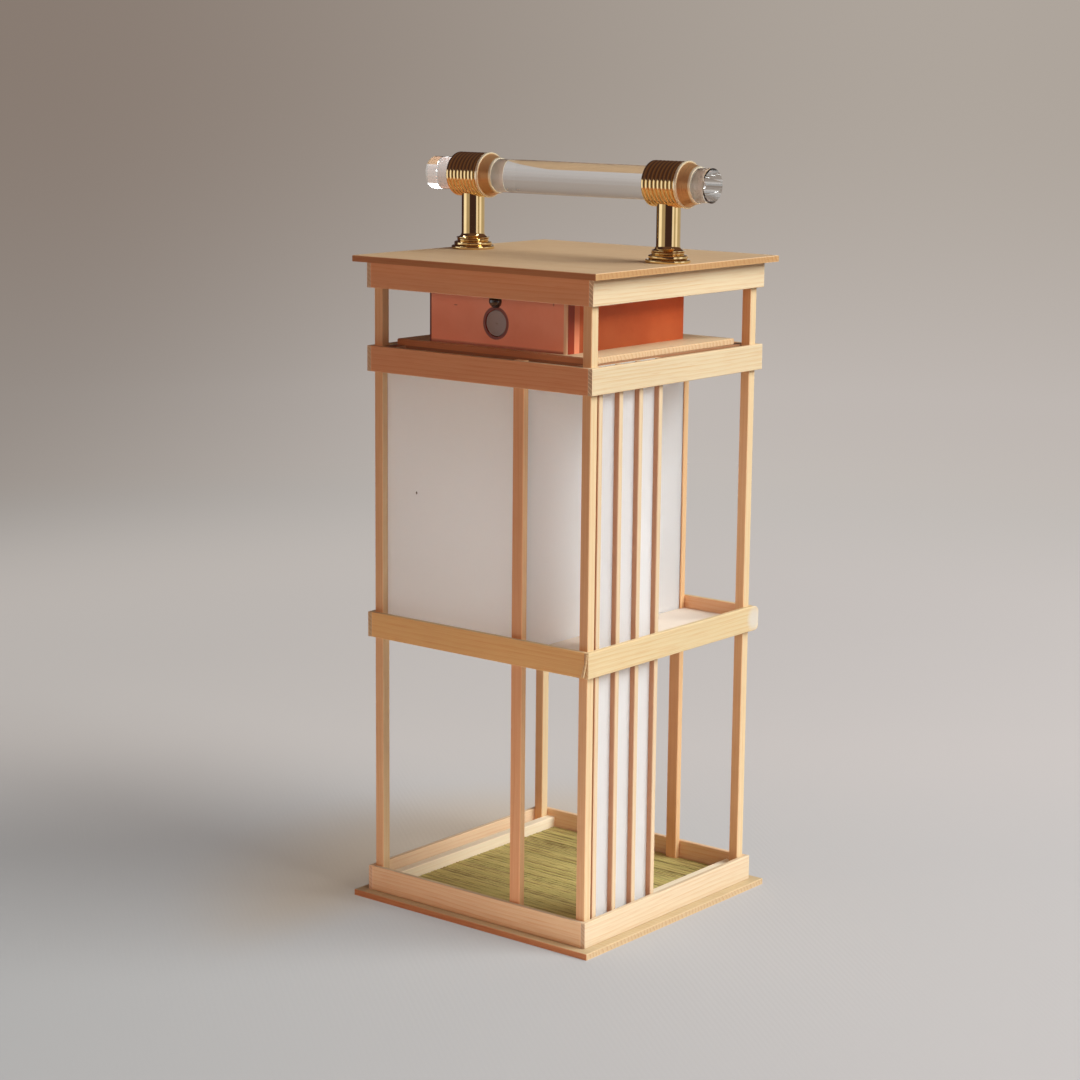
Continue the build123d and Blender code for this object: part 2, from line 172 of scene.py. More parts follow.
def paint(target, material):
    piece = nodes[target] if isinstance(target, str) else target
    if len(piece.material_slots) == 0:
        piece.data.materials.append(material)
    for slot in piece.material_slots:
        slot.material = material


def addObject(name, data):
    added = bpy.data.objects.new(name, data)
    scene.collection.objects.link(added)
    return added


def fillMesh(mesh, shape, outwards=True):
    if outwards:
        bmesh.ops.recalc_face_normals(shape, faces=shape.faces[:])
    shape.to_mesh(mesh)
    shape.free()


def addMesh(name, shape, outwards=True):
    added = addObject(name, bpy.data.meshes.new(name))
    fillMesh(added.data, shape, outwards)
    return added


def turnOutwards(mesh):
    shape = bmesh.new()
    shape.from_mesh(mesh)
    fillMesh(mesh, shape)


def smoothFaces(mesh, degrees=None):  # edges sharper than the angle stay crisp
    for polygon in mesh.polygons:
        polygon.use_smooth = True
    if degrees:
        mesh.set_sharp_from_angle(angle=math.radians(degrees))


def skin(shape, rings, loop=False, caps=False):
    # faces between neighbouring rings of vertices; a ring of one vertex closes as a fan
    count = max(len(ring) for ring in rings)
    for one, two in zip(rings, rings[1:] + rings[:1] if loop else rings[1:]):
        for step in range(count):
            after = (step + 1) % count
            turns = ((one, step), (one, after), (two, after), (two, step))
            shape.faces.new(list(dict.fromkeys(ring[place % len(ring)] for ring, place in turns)))
    if caps:
        shape.faces.new(rings[0])
        shape.faces.new(rings[-1])


def addBlock(shape, start, end, ease):
    corners = bmesh.ops.create_cube(shape, size=1.0)["verts"]
    for vertex in corners:
        vertex.co = Vector([start[i] + (end[i] - start[i]) * (vertex.co[i] + 0.5) for i in range(3)])
    edges = list(dict.fromkeys(edge for vertex in corners for edge in vertex.link_edges))
    bmesh.ops.bevel(shape, geom=edges, offset=ease, segments=2, affect="EDGES")


def wayTo(azimuth, elevation):
    level = math.cos(elevation)
    return Vector((math.cos(azimuth) * level, math.sin(azimuth) * level, math.sin(elevation)))


cameraSettings = {
    "azimuth": 38.5964,
    "elevation": 10.8994,
    "roll": 0.5554,
    "place": (0.615088, -0.786047, 0.336877),
    "lens": 85.436,
    "sensor": 36.0,
}


def makeCamera(settings):
    azimuth, elevation, roll = [math.radians(settings[k]) for k in ("azimuth", "elevation", "roll")]
    back = wayTo(azimuth - math.pi / 2, elevation)
    level = wayTo(azimuth, 0.0)
    upright = back.cross(level)
    right = level * math.cos(roll) + upright * math.sin(roll)
    up = upright * math.cos(roll) - level * math.sin(roll)
    data = bpy.data.cameras.new("camera")
    data.lens = settings["lens"]
    data.sensor_width = settings["sensor"]
    camera = addObject("camera", data)
    turn = Matrix((right, up, back)).transposed().to_4x4()
    camera.matrix_world = Matrix.Translation(settings["place"]) @ turn
    scene.camera = camera


makeCamera(cameraSettings)
scene.view_settings.view_transform = "Standard"
# enough bounces for light to find its way through the papers and the clear rod
scene.cycles.max_bounces, scene.cycles.diffuse_bounces = 24, 10
scene.cycles.glossy_bounces, scene.cycles.transmission_bounces = 14, 16
print("camera set")


stageSettings = {
    "floorRadius": 2.0, "firstRing": 0.02, "ringGrowth": 1.3, "ringCount": 17,
    "bend": 0.35, "wallHeights": (0.8, 3.0), "wallLift": 0.0005,
    "floorLeft": (0.482, 0.49, 0.486), "floorRight": (0.57, 0.55, 0.54),
    "nearLeft": (0.33, 0.295, 0.265), "nearRight": (0.56, 0.525, 0.49),
    "farLeft": (0.3, 0.262, 0.235), "farRight": (0.52, 0.475, 0.445),
    "highLeft": (0.246, 0.198, 0.166), "highRight": (0.424, 0.376, 0.332),
    "lift": 0.36,
    "fadeStart": 0.4, "fadeEnd": 1.1,
    "bounceBoostStart": 0.12, "bounceBoostEnd": 0.42,
    "bounceBoostNear": 1.6, "bounceBoostFront": 1.9, "bounceBoostFar": 0.1,
    "ribPitch": 0.0021, "ribWay": (0.62, 0.78),
    "behindLightLift": (0.17, 0.12, 0.09),
    "warmShade": (1.04, 0.9, 0.74),
}


viewRight = (0.78, 0.62)


def sideways(at):  # over the floor to the viewer's right
    return at["x"] * viewRight[0] + at["y"] * viewRight[1]


def onward(at):  # over the floor away from the viewer
    return at["y"] * viewRight[0] - at["x"] * viewRight[1]


def backdropColour(bench, at, s):
    # painted light: the glowing sweep darkens upward and to the left of the viewer
    across = sideways(at)
    side = across.rise(-0.6, 0.16)
    away = distance(at["x"], at["y"]) + at["z"] * 1.5
    near = bench.mix(side, s["nearLeft"], s["nearRight"])
    far = bench.mix(side, s["farLeft"], s["farRight"])
    high = bench.mix(across.rise(-0.66, 0.5), s["highLeft"], s["highRight"])
    return bench.mix(away.rise(1.5, 2.5), bench.mix(away.rise(0.45, 1.5), near, far), high)


def makeSweep(name, profile, lid=False, steps=96):
    # rings of (radius, height) turned about the upright through the object
    shape = bmesh.new()
    rings = []
    for radius, height in profile:
        angles = [step * math.tau / steps for step in range(steps)]
        rings.append([shape.verts.new((radius * math.cos(a), radius * math.sin(a), height)) for a in angles])
    if lid:
        shape.faces.new(rings[0])
    skin(shape, rings)
    sweep = addMesh(name, shape)
    smoothFaces(sweep.data)
    return sweep


def makeFloor(s):
    profile = [(s["firstRing"] * s["ringGrowth"] ** i, 0.0) for i in range(s["ringCount"])]
    floor = makeSweep("floor", profile + [(s["floorRadius"], 0.0)], lid=True)
    material, bench = newMaterial("floorCloth")
    place = bench.place()
    at = bench.axes(place)
    away = distance(at["x"], at["y"])
    ribs = (at["x"] * s["ribWay"][0] + at["y"] * s["ribWay"][1]) * (math.tau / s["ribPitch"])
    weave = (ribs + bench.noise(place, 30.0) * 3.0).op("SINE")
    cloud = bench.noise(place, 6.0, 3.0)
    seen = bench.seen()
    # painted light: for bounced light only, the cloth reflects more than it could close to the object, most
    # towards the front, and little farther off, to throw more light onto the object
    drop = away.rise(s["bounceBoostStart"], s["bounceBoostEnd"]) * (s["bounceBoostNear"] - s["bounceBoostFar"])
    bounceBoost = seen + (1.0 - seen) * (s["bounceBoostNear"] - drop)
    front = (-at["y"]).rise(0.02, 0.1) * away.fall(0.25, 0.5) * (1.0 - seen)
    tone = 0.925 + cloud * 0.03 + weave * 0.006 * away.fall(0.1, 0.26)
    tint = bench.grey(tone * (bounceBoost + front * (s["bounceBoostFront"] - 1.0)))
    side = sideways(at).rise(-0.3, 0.25)
    # painted light: the floor behind the object, where its shadow falls, is lifted for the viewer; painted
    # shade: a warm tint on the floor beside it
    behind = onward(at).rise(0.02, 0.24) * away.fall(0.6, 1.0) * seen
    warm = (-at["x"]).rise(0.03, 0.075) * away.fall(0.08, 0.17) * seen
    parts = {i: behind * (1.55 - side) * s["behindLightLift"][i] + 1.0 for i in range(3)}
    lifted = bench.node("ShaderNodeCombineColor", None, parts)
    plain = bench.mix(side, s["floorLeft"], s["floorRight"])

    def shaded(colour):  # painted light and shade on the floor: a lift that lightens it behind the object and a painted warm shade beside it
        colour = bench.times(colour, lifted)
        return bench.mix(warm, colour, bench.times(colour, s["warmShade"]))

    bump = bench.bump(weave * away.fall(0.1, 0.3), 0.1, 0.0001)
    cloth = bench.principled(shaded(bench.times(tint, plain)), 0.95, bump, {"Specular IOR Level": 0.0})
    outer = away.rise(s["fadeStart"], s["fadeEnd"])
    far = shaded(bench.mix(outer, plain, backdropColour(bench, at, s)))
    glow = bench.node("ShaderNodeEmission", None, {"Color": far, "Strength": 1.0})
    # the viewer sees part glow near the object, painted light that lifts the floor and its shadow, and only
    # glow far off
    fade = (s["lift"] + outer * (1.0 - s["lift"])) * seen
    closeMaterial(bench, bench.node("ShaderNodeMixShader", None, {0: fade, 1: cloth, 2: glow}))
    paint(floor, material)
    floor.visible_glossy = False


def makeBackdrop(s):
    radius, bend = s["floorRadius"], s["bend"]
    angles = [step * math.pi / 24 for step in range(13)]
    profile = [(radius - bend + bend * math.sin(a), bend - bend * math.cos(a)) for a in angles]
    wall = makeSweep("backdrop", profile + [(radius, height) for height in s["wallHeights"]])
    wall.data.transform(Matrix.Translation((0.0, 0.0, s["wallLift"])))
    material, bench = newMaterial("backdropGlow")
    colour = backdropColour(bench, bench.axes(bench.place()), s)
    closeMaterial(bench, bench.node("ShaderNodeEmission", None, {"Color": colour, "Strength": 1.0}))
    paint(wall, material)
    wall.visible_diffuse = False
    wall.visible_glossy = False
    wall.visible_shadow = False


airSettings = {
    "fill": (0.13, 0.089, 0.075),
    "dark": (0.05, 0.029, 0.032),
    "left": (0.44, 0.39, 0.34),
    "strip": (1.08, 1.08, 1.12),
    "window": (0.98, 0.96, 1.02),
    "wall": (0.48, 0.44, 0.36),
    "planks": (0.52, 0.24, 0.12),
    "overhead": (0.11, 0.062, 0.05),
    "behind": (0.46, 0.42, 0.39),
}


def makeAir(s):
    world = bpy.data.worlds.new("air")
    scene.world = world
    world.use_nodes = True
    world.node_tree.nodes.clear()
    bench = Bench(world.node_tree)
    at = bench.axes(bench.node("ShaderNodeTexCoord").out("Generated"))
    # what polished metal sees, by the turn to the viewer's right: a dark room, pale cards, planks below
    turn = sideways(at).op("ARCTAN2", -onward(at)) * (180.0 / math.pi)

    def between(start, end, soft=5.0):
        return turn.rise(start - soft, start + soft) * turn.fall(end - soft, end + soft)

    room = bench.mix(between(-86.0, -35.0, 4.0), s["dark"], s["left"])
    room = bench.mix(between(-106.0, -70.0, 6.0), room, s["strip"])
    room = bench.mix(turn.rise(40.0, 56.0), room, s["wall"])
    room = bench.mix(between(32.0, 50.0, 4.0), room, s["window"])
    room = bench.mix(between(68.0, 90.0), room, s["window"])
    room = bench.mix(turn.rise(108.0, 126.0), room, s["behind"])
    room = bench.mix(at["z"].fall(-0.4, -0.24), room, s["planks"])
    above = bench.mix(at["x"].rise(-0.45, -0.1), s["dark"], s["overhead"])
    room = bench.mix(at["z"].rise(0.18, 0.28), room, above)
    glossy = bench.node("ShaderNodeLightPath").out("Is Glossy Ray")
    colour = bench.mix(bench.seen(), bench.mix(glossy, s["fill"], room), s["behind"])
    sky = bench.node("ShaderNodeBackground", None, {"Color": colour, "Strength": 1.0})
    bench.node("ShaderNodeOutputWorld", None, {"Surface": sky})


lampSettings = {
    "key": {"azimuth": 20.0, "elevation": 38.0, "distance": 2.2, "size": (1.7, 1.5),
            "colour": (0.95, 0.99, 1.0), "watts": 78.0},
    "warm": {"azimuth": -66.0, "elevation": 10.0, "distance": 1.5, "size": (1.4, 0.5),
             "colour": (1.0, 0.5, 0.36), "watts": 4.8},
}
lampTarget = Vector((0.0, 0.0, 0.14))


def makeLamps(lamps):
    for name, lamp in lamps.items():
        way = wayTo(math.radians(lamp["azimuth"]), math.radians(lamp["elevation"]))
        data = bpy.data.lights.new(name, "AREA")
        data.shape = "RECTANGLE"
        data.size, data.size_y = lamp["size"]
        data.energy = lamp["watts"]
        data.color = lamp["colour"]
        light = addObject(name, data)
        light.location = lampTarget + way * lamp["distance"]
        light.rotation_mode = "QUATERNION"
        light.rotation_quaternion = way.to_track_quat("Z", "Y")
        light.visible_glossy = False


makeFloor(stageSettings)
makeBackdrop(stageSettings)
makeAir(airSettings)
makeLamps(lampSettings)
print("floor, air and lamps set")


woodSettings = {
    "early": (0.715, 0.592, 0.398),
    "late": (0.63, 0.412, 0.212),
    "fibre": (0.6, 0.32, 0.14),
    "endDark": (0.48, 0.23, 0.1),
    "worn": (0.88, 0.68, 0.45),
    "edgeGlint": (1.0, 0.86, 0.62),
    "ringPitch": 0.00125,
    "ringDepth": 0.72,
    "fibreDepth": 0.3,
    "roughness": 0.5,
    "bump": 0.35,
    "wearStart": 0.00008,
    "wearWidth": 0.00045,
}


def woodMaterial(name, grain, low, high, seed, tilt, pitch, tint, lines=1.0, facingShadeTint=None, endTint=None,
                 edgeGlints=0.0, palePatch=None):
    s = woodSettings
    material, bench = newMaterial("wood_" + name)
    coords = bench.node("ShaderNodeTexCoord")
    at = bench.axes(coords.out("Object"))
    facing = bench.axes(coords.out("Normal"))
    axes = "xyz"
    first, second = [a for a in axes if a != grain]
    along, across, depth = at[grain], at[first], at[second]
    shift = 3.7 * seed
    slow = bench.vector(along * 7.0 + shift, across * 70.0, depth * 70.0 + shift)
    warp = bench.noise(slow, 1.0, 2.0)
    turn = math.radians(tilt)
    spacing = s["ringPitch"] * pitch
    rings = across * (math.cos(turn) / spacing) + depth * (math.sin(turn) / spacing)
    phase = rings + warp * 3.2 + shift
    saw = phase.op("FRACT")
    late = (saw ** 3.0) * saw.fall(0.9, 1.0)
    broad = bench.noise(bench.vector(along * 22.0, across * 240.0 + shift, depth * 240.0), 1.0, 1.0)
    weight = broad.rise(0.3, 0.72)
    fine = bench.noise(bench.vector(along * 55.0 + shift, across * 3000.0, depth * 3000.0), 1.0, 3.0, 0.6)
    fibre = fine.rise(0.46, 0.7)
    cloud = bench.noise(bench.vector(along * 16.0, across * 45.0 + shift, depth * 45.0), 1.0, 3.0)
    colour = bench.mix(late * (0.35 + weight * 0.65) * (s["ringDepth"] * lines), s["early"], s["late"])
    colour = bench.mix(fibre * s["fibreDepth"] * lines, colour, s["fibre"])
    # end grain shows on the faces that cut the fibres
    end = abs(facing[grain]).rise(0.75, 0.95)
    endColour = bench.mix(late * 0.6 + fibre * 0.2 + 0.22, s["early"], s["endDark"])
    # painted highlights: pale ticks on the end grain where its rough edges would catch the light
    if edgeGlints:
        edgeGlint = saw.rise(0.55, 0.72) * saw.fall(0.86, 0.96) * edgeGlints
        endColour = bench.mix(edgeGlint, endColour, s["edgeGlint"])
    colour = bench.mix(end * 0.85, colour, endColour)
    # edges rubbed pale where hands and tools met them
    limits = dict(zip(axes, zip(low, high)))
    near = {a: (at[a] - limits[a][0]).least(limits[a][1] - at[a]) for a in axes}
    pair = near[first].least(near[second])
    edge = near[first].most(near[second]).least(near[grain].most(pair))
    rub = edge.fall(s["wearStart"], s["wearWidth"]) * (0.35 + fine * 0.9)
    colour = bench.mix(rub * 0.55, colour, s["worn"])
    colour = bench.times(bench.times(colour, bench.grey(0.93 + cloud * 0.14)), tint)
    if facingShadeTint:  # painted shade: the faces towards the front and back get a tint of their own, partly the wood's look across the grain and partly painted shade and bounce light
        colour = bench.mix(abs(facing["y"]).rise(0.6, 0.8), colour, bench.times(colour, facingShadeTint))
    if endTint:
        colour = bench.mix(end, colour, bench.times(colour, endTint))
    if palePatch:  # a paler patch painted at a given place
        place, reach, paler = palePatch
        over, up = (at["y"] - place[0]) / reach[0], (at["z"] - place[1]) / reach[1]
        patch = (over ** 2.0 + up ** 2.0 + (warp - 0.5) * 0.4).fall(0.1, 1.3)
        colour = bench.mix(patch * 0.8, colour, paler)
    height = late * -0.5 + fine * 0.7 + rub * -0.3
    bump = bench.bump(height, s["bump"], 0.00008)
    rough = s["roughness"] + late * -0.1 + fine * 0.12
    closeMaterial(bench, bench.principled(colour, rough, bump, {"IOR": 1.45}))
    return material


woodPieces = {
    # grain, ring tilt, ring pitch, tint, line strength, painted-shade tint of the faces towards front and
    # back, tint of the ends
    "base_board": ("x", 20.0, 1.6, (0.81, 0.78, 0.7), 1.1, (0.88, 0.49, 0.31), None),
    "top_board": ("x", 14.0, 1.9, (0.83, 0.72, 0.64), 1.3, (0.76, 0.49, 0.32), (0.88, 0.78, 0.6)),
    "shelf_board": ("x", 16.0, 1.7, (0.98, 0.93, 0.86), 0.9, (0.64, 0.39, 0.29), None),
}
# each band's second tint is painted shade and bounce light on its faces towards the front and back
bandTints = {
    "bottom": ((0.96, 0.95, 0.97), (1.22, 1.1, 0.95)),
    "middle": ((0.92, 0.89, 0.77), (1.24, 1.0, 0.68)),
    "shelf": ((0.93, 0.92, 0.88), (1.08, 0.66, 0.49)),
    "top": ((0.98, 0.97, 0.94), (1.06, 0.68, 0.52)),
}
for level, (tint, frontShadeTint) in bandTints.items():
    for side, grain in (("front", "x"), ("back", "x"), ("left", "y"), ("right", "y")):
        across = frontShadeTint if grain == "x" else None
        woodPieces[level + "_strip_" + side] = (grain, 52.0, 1.15, tint, 1.25, across, None)
woodPieces["middle_strip_back"] = ("x", 52.0, 1.15, (0.92, 0.89, 0.77), 1.25, (1.26, 0.98, 0.96), None)
# painted light: the left and back bottom strips are tinted paler to light their inner faces
woodPieces["bottom_strip_left"] = ("y", 52.0, 1.15, (1.16, 1.1, 1.1), 1.0, None, None)
woodPieces["bottom_strip_back"] = ("x", 52.0, 1.15, (1.1, 0.96, 0.9), 1.0, None, None)
for side in ("left", "right"):
    for end in ("front", "back"):
        post = ("z", 35.0, 0.9, (0.98, 0.91, 0.8), 0.9, (1.1, 0.91, 0.8), None)
        woodPieces["corner_post_" + end + "_" + side] = post
    # painted light: the floor rails are tinted pale to light their inner faces
    woodPieces["floor_rail_" + side] = ("y", 65.0, 1.2, (1.24, 1.33, 1.5), 0.6, None, None)
    woodPieces["middle_ledger_" + side] = ("y", 40.0, 1.1, (1.0, 0.98, 0.95), 0.9, None, None)
    # painted shade: the shelf ledgers are tinted dark
    woodPieces["shelf_ledger_" + side] = ("y", 55.0, 1.1, (0.42, 0.26, 0.2), 0.9, None, None)
for name in ("mid_post_front", "mid_post_back"):
    woodPieces[name] = ("z", 60.0, 0.9, (1.1, 0.87, 0.68), 0.9, (0.98, 0.84, 0.8), None)
woodPieces["lattice_slats"] = ("z", 40.0, 0.8, (0.96, 0.92, 0.9), 0.9, (0.8, 0.56, 0.49), None)
for name in ("lattice_bottom_rail", "lattice_top_rail"):
    woodPieces[name] = ("y", 30.0, 1.0, (1.0, 0.97, 0.94), 0.9, None, None)

woodMaterials = {}
for seed, (name, (grain, *rest)) in enumerate(woodPieces.items()):
    low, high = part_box(name)
    # painted highlights on the end grain of these two strips
    edgeGlints = 1.0 if name in ("top_strip_right", "shelf_strip_right") else 0.0
    woodMaterials[name] = woodMaterial(name, grain, low, high, seed + 1, *rest, edgeGlints)
    paint(name, woodMaterials[name])
print("wood finished:", len(woodPieces), "pieces")

shelfLip = {
    "drop": 0.0024, "thick": 0.0014, "inset": 0.0002, "short": 0.0045,
    "ease": 0.0003, "battenEase": 0.0001, "battenTint": (0.36, 0.22, 0.17),
    "battenTilt": 30.0, "battenPitch": 1.0, "battenSeed": 60,
}


def makeShelf(lip):
    # the board, with a thin batten under its front edge that closes the gap behind the front strip; the
    # batten is tinted dark as painted shade
    low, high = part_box("shelf_board")
    front = low.y + lip["inset"]
    battenLow = (low.x + lip["short"], front, low.z - lip["drop"])
    battenHigh = (high.x - lip["short"], front + lip["thick"], low.z)
    shape = bmesh.new()
    addBlock(shape, low, high, lip["ease"])
    addBlock(shape, battenLow, battenHigh, lip["battenEase"])
    shelf = addMesh("shelf_lipped", shape, outwards=False)
    paint(shelf, woodMaterials["shelf_board"])
    look = [lip["batten" + part] for part in ("Seed", "Tilt", "Pitch", "Tint")]
    # the batten takes a dark wood, painted shade
    dark = woodMaterial("shelf_shade_batten", "x", low, high, *look)
    shelf.data.materials.append(dark)
    for polygon in shelf.data.polygons:
        polygon.material_index = 1 if polygon.center.z < low.z - 0.00001 else 0
    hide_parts("shelf_board")
    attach(shelf, "frame")


makeShelf(shelfLip)
print("shelf finished")

curlSettings = {
    "frontStops": (0.0, 0.0003, 0.004), "seed": 71,
    "overhang": 0.0013, "flare": 0.0005, "flareStart": 0.008, "round": 0.0022, "ease": 0.0002,
    "sliverBack": 0.0009, "sliverThick": 0.0004, "sliverLap": 0.0002, "sliverTop": 0.0006,
    "sliverShort": 0.0014, "sliverInset": 0.0004, "sliverSlant": 0.0009, "sliverWidth": 0.0004,
    "sliverSpread": 0.001, "sliverSteps": 4, "tint": (1.12, 1.1, 1.06),
    "patch": (0.0538, 0.1121), "patchSize": (0.0046, 0.0052), "paler": (0.62, 0.585, 0.52),
}


def makeCurledStrip(c):
    # the right strip of the middle band: its back end runs on, rounds off and lifts; a sliver peels in front
    low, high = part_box("middle_strip_right")
    end = high.y + c["overhang"]
    tall, centre = high.z - low.z, (high.z + low.z) / 2
    stops = [low.y + offset for offset in c["frontStops"]] + [0.0]
    stops += [high.y - c["flareStart"] * (1 - i / 6) for i in range(6)]
    stops += [end - c["round"] + c["round"] * math.sin(i * math.pi / 16) for i in range(8)] + [end]
    shape = bmesh.new()
    rings = []
    for y in stops:
        into = max(0.0, y - (end - c["round"]))
        half = tall / 2 - c["round"] + math.sqrt(max(0.0, c["round"] ** 2 - into ** 2))
        lift = c["flare"] * max(0.0, (y - high.y + c["flareStart"]) / (c["flareStart"] + c["overhang"])) ** 2
        ease, shy = c["ease"], c["ease"] if y == low.y else 0.0
        inner, outer = low.x + lift + shy, high.x + lift - shy
        bottom, top = centre - half + shy, centre + half - shy
        corners = [(inner + ease, bottom), (outer - ease, bottom), (outer, bottom + ease)]
        corners += [(outer, top - ease), (outer - ease, top), (inner + ease, top)]
        corners += [(inner, top - ease), (inner, bottom + ease)]
        rings.append([shape.verts.new((x, y, z)) for x, z in corners])
    skin(shape, rings, caps=True)
    sliver = []
    for step in range(c["sliverSteps"] + 1):  # it leaves the end at its top and stands off at its foot
        t = step / c["sliverSteps"]
        z = high.z - c["sliverTop"] - t * (tall - c["sliverShort"])
        y = low.y - c["sliverBack"] * t ** 1.6
        x = high.x - c["sliverInset"] - c["sliverSlant"] * t
        far = x - (c["sliverWidth"] + c["sliverSpread"] * (high.z - z) / tall)
        lap, face = y + c["sliverLap"], y - c["sliverThick"]
        corners = ((x, lap, z), (x, face, z), (far, face, z), (far, lap, z))
        sliver.append([shape.verts.new(corner) for corner in corners])
    skin(shape, sliver, caps=True)
    strip = addMesh("strip_curled", shape)
    grain, *look = woodPieces["middle_strip_right"][:5]
    palePatch = (c["patch"], c["patchSize"], c["paler"])
    paint(strip, woodMaterial("strip_curled", grain, low, high, c["seed"], *look, c["tint"], palePatch=palePatch))
    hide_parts("middle_strip_right")
    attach(strip, "frame")


makeCurledStrip(curlSettings)
print("middle strip finished")


paperSettings = {
    "colour": (0.97, 0.978, 0.982),
    "shade": (0.945, 0.952, 0.955),
    "glow": (0.988, 0.992, 0.996),
    "through": 0.76,
    "fibreScale": 260.0,
    "speck": (0.12, 0.095, 0.08),
    "speckSize": (0.00025, 0.0006),
    "speckSquash": 0.7,
    "lowerBay": (0.09, 0.118),
}


def paperMaterial(name, s, through, speck=None, lower=0.0):
    material, bench = newMaterial(name)
    place = bench.place()
    cloud = bench.noise(place, 45.0, 4.0, 0.6)
    drift = bench.noise(place, 120.0, 2.0)
    wander = bench.vector(drift * 0.004, drift * 0.003, drift * -0.004)
    bent = bench.node("ShaderNodeVectorMath", {"operation": "ADD"}, {0: place, 1: wander})
    cells = {"Vector": bent, "Scale": s["fibreScale"]}
    strand = bench.node("ShaderNodeTexVoronoi", {"feature": "DISTANCE_TO_EDGE"}, cells)
    fibres = strand.fall(0.0, 0.05)
    fine = bench.noise(place, 1800.0, 3.0)
    colour = bench.mix(cloud.rise(0.35, 0.75) * 0.3 + fibres * 0.1, s["colour"], s["shade"])
    spot = 0.0
    if speck:  # a dark fleck caught in the sheet
        squash = s["speckSquash"]
        scaled = {0: place, 1: (1.0, 1.0, squash)}
        flat = bench.node("ShaderNodeVectorMath", {"operation": "MULTIPLY"}, scaled)
        ends = {0: flat, 1: (speck[0], speck[1], speck[2] * squash)}
        apart = bench.node("ShaderNodeVectorMath", {"operation": "DISTANCE"}, ends, out=1)
        spot = apart.fall(*s["speckSize"])
        colour = bench.mix(spot, colour, s["speck"])
    bump = bench.bump(fine * 0.6 + fibres * 0.5 + cloud * 0.8, 0.22, 0.00006)
    face = bench.principled(colour, 0.82 + fine * 0.12, bump, {"Specular IOR Level": 0.25})
    if through:
        lit = bench.node("ShaderNodeBsdfTranslucent", None, {"Color": (*s["glow"], 1.0), "Normal": bump})
        passing = through
        if lower:  # less light comes through in the lower bay
            passing = through - bench.axes(place)["z"].fall(*s["lowerBay"]) * lower
        share = (passing + fibres * -0.08 + cloud * -0.04) * (1.0 - spot)
        face = bench.node("ShaderNodeMixShader", None, {0: share, 1: face, 2: lit})
    closeMaterial(bench, face)
    return material


paper = paperMaterial("washiPaper", paperSettings, paperSettings["through"])
for name in ("paper_back", "paper_left", "paper_partition"):
    paint(name, paper)
paint("lattice_paper", paperMaterial("washiLattice", paperSettings, 0.79, None, 0.1))
paint("paper_front", paperMaterial("washiFront", paperSettings, 0.9, (-0.0339, -0.0499, 0.1663)))
sheetSettings = dict(paperSettings, colour=(0.75, 0.65, 0.55), shade=(0.7, 0.59, 0.48))
paint("middle_floor", paperMaterial("floorSheet", sheetSettings, 0.0))
print("papers finished")


socketKinds = {int: "NodeSocketInt", float: "NodeSocketFloat", tuple: "NodeSocketVector"}
weldDistance = 0.000004


def newGeometryTree(name, inputs):
    tree = bpy.data.node_groups.new(name, "GeometryNodeTree")
    tree.interface.new_socket(name="Geometry", in_out="INPUT", socket_type="NodeSocketGeometry")
    for label, value in inputs.items():
        socket = tree.interface.new_socket(name=label, in_out="INPUT", socket_type=socketKinds[type(value)])
        socket.default_value = value
    tree.interface.new_socket(name="Geometry", in_out="OUTPUT", socket_type="NodeSocketGeometry")
    bench = Bench(tree)
    return tree, bench, bench.node("NodeGroupInput")


def pointRow(bench, given, step):
    sockets = {"Count": given.out("Count"), "Start Location": given.out("Start"), "Offset": step}
    return bench.node("GeometryNodeMeshLine", {"mode": "OFFSET"}, sockets)


def closeTree(bench, given, grown, material):
    joined = bench.node("GeometryNodeJoinGeometry", None, {0: given.out("Geometry")})
    bench.tree.links.new(grown.socket, joined.socket.node.inputs[0])
    whole = bench.node("GeometryNodeRealizeInstances", None, {"Geometry": joined})
    whole = bench.node("GeometryNodeMergeByDistance", None, {"Geometry": whole, "Distance": weldDistance})
    dressed = bench.node("GeometryNodeSetMaterial", None, {"Geometry": whole, "Material": material})
    bench.node("NodeGroupOutput", None, {0: dressed})


def growMesh(piece, tree, values):
    modifier = piece.modifiers.new("grow", "NODES")
    modifier.node_group = tree
    for item in tree.interface.items_tree:
        if item.in_out == "INPUT" and item.name in values:
            modifier[item.identifier] = values[item.name]
    bpy.context.view_layer.update()
    graph = bpy.context.evaluated_depsgraph_get()
    grown = bpy.data.meshes.new_from_object(piece.evaluated_get(graph))
    piece.modifiers.clear()
    piece.data = grown
    turnOutwards(grown)


matSettings = {
    "stalkPitch": 0.00098,
    "stalkHeight": 0.0005,
    "wave": 0.00004,
    "warpSpacing": 0.0072,
    "jitter": 0.0001,
    "segments": 60,
    "coreEase": 0.0003,
    "underShadeHeights": (0.00246, 0.0027),
    "green": (0.48, 0.425, 0.14),
    "straw": (0.69, 0.57, 0.23),
    "dark": (0.105, 0.095, 0.035),
    "groove": (0.25, 0.15, 0.055),
    "bundle": 0.39,
}


